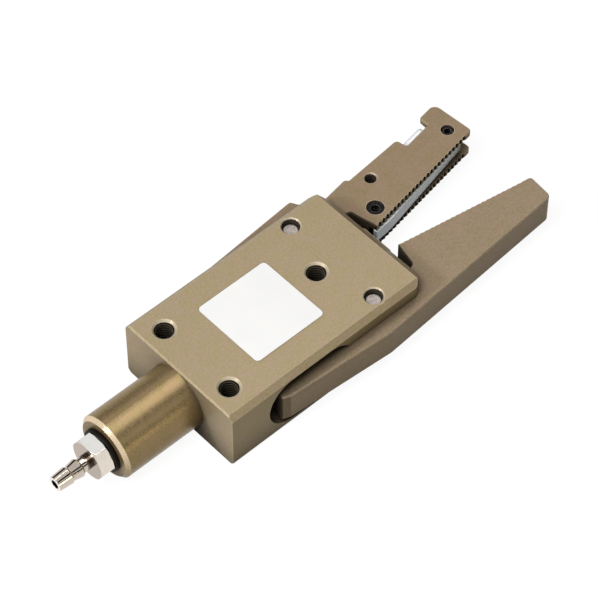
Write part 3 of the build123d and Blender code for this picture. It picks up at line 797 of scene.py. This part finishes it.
def studio_sky():
    """White to the eye and to reflections, and a dim warm light on the gripper."""
    tree = Tree(bpy.data.worlds.new("studio"), "OutputWorld")
    dim = tree.node("Background", {"Color": SKY_TINT, "Strength": SKY_LIGHT}).outputs[0]
    bright = tree.node("Background", {"Strength": SKY_SEEN}).outputs[0]
    return tree.show(tree.node("MixShader", {0: tree.seen(), 1: dim, 2: bright}))


floor = add("floor", rectangle("floor", FLOOR_WIDTH, FLOOR_WIDTH, FLOOR_HEIGHT))
floor.data.materials.append(floor_look())
bpy.context.scene.world = studio_sky()


# Flags and lamps
def face_gripper(made, direction, distance):
    """Puts it that way and that far from the origin, and turns it to face the origin."""
    out = Vector(direction).normalized()
    made.location = out * distance
    made.rotation_mode = "QUATERNION"
    made.rotation_quaternion = out.to_track_quat("Z", "Y")


def flag_look(name):
    """Dull black cloth."""
    tree = material_tree(name)
    weave = tree.noise(scale=0.3)
    return tree.principled(
        Base_Color=tree.mix(weave, colour(0.008, 0.008, 0.008), colour(0.014, 0.014, 0.014)),
        Roughness=tree.span(weave, 0.3, 0.7, 0.8, 0.95),
        Normal=tree.bump(weave, 0.0002),
        Specular_IOR_Level=0.0,
    )


def flag(name, direction, height):
    """Black cloth on a card that only reflections show, for the dark bands of polished metal."""
    card = add(name, rectangle(name, FLAG_WIDTH, height))
    card.data.materials.append(flag_look(name))
    face_gripper(card, direction, FLAG_DISTANCE)
    card.visible_camera = False
    card.visible_diffuse = False
    card.visible_shadow = False


def softbox(name, direction, size, power, tint=(1.0, 1.0, 1.0), distance=LAMP_DISTANCE):
    """Square area lamp that faces the gripper."""
    lamp = bpy.data.lights.new(name, "AREA")
    lamp.shape = "SQUARE"
    lamp.size = size
    lamp.energy = power
    lamp.color = tint
    made = add(name, lamp)
    face_gripper(made, direction, distance)
    return made


flag("high_flag", direction=(0.20, -0.44, 0.82), height=0.36)
flag("right_flag", direction=(0.20, -0.84, 0.42), height=0.36)
flag("left_flag", direction=(0.20, 0.85, 0.40), height=0.56)

softbox("top_softbox", direction=(-0.45, -0.15, 0.88), size=0.40, power=4.95)
softbox("rear_softbox", direction=(-0.80, 0.24, 0.55), size=0.10, power=2.45)
softbox(
    "side_softbox",
    direction=(0.10, -0.94, 0.31),
    size=0.22,
    power=0.75,
    tint=(1.0, 0.93, 0.60),
    distance=0.9,
)

# This one adds gloss and no plain light
gloss_box = softbox("front_softbox", direction=(0.42, 0.12, 0.89), size=0.45, power=1.8)
gloss_box.visible_diffuse = False


# Camera
def camera_turn():
    """The camera's right, up and backward directions, as the columns of a matrix."""
    back = Vector((
        math.cos(CAMERA_ELEVATION) * math.cos(CAMERA_AZIMUTH),
        math.cos(CAMERA_ELEVATION) * math.sin(CAMERA_AZIMUTH),
        math.sin(CAMERA_ELEVATION),
    ))
    level = (-back).cross(Vector((0, 0, 1))).normalized()
    upward = level.cross(-back)
    right = level * math.cos(CAMERA_ROLL) + upward * math.sin(CAMERA_ROLL)
    up = upward * math.cos(CAMERA_ROLL) - level * math.sin(CAMERA_ROLL)
    return Matrix((right, up, back)).transposed().to_4x4()


optics = bpy.data.cameras.new("camera")
optics.lens = CAMERA_LENS
optics.sensor_width = SENSOR_WIDTH
optics.clip_start = NEAREST_SEEN
optics.clip_end = FURTHEST_SEEN
optics.shift_x = -FRAME_SHIFT
optics.shift_y = FRAME_SHIFT
camera = add("camera", optics)
camera.matrix_world = Matrix.Translation(CAMERA_PLACE) @ camera_turn()
bpy.context.scene.camera = camera

bpy.context.scene.view_settings.view_transform = "Standard"
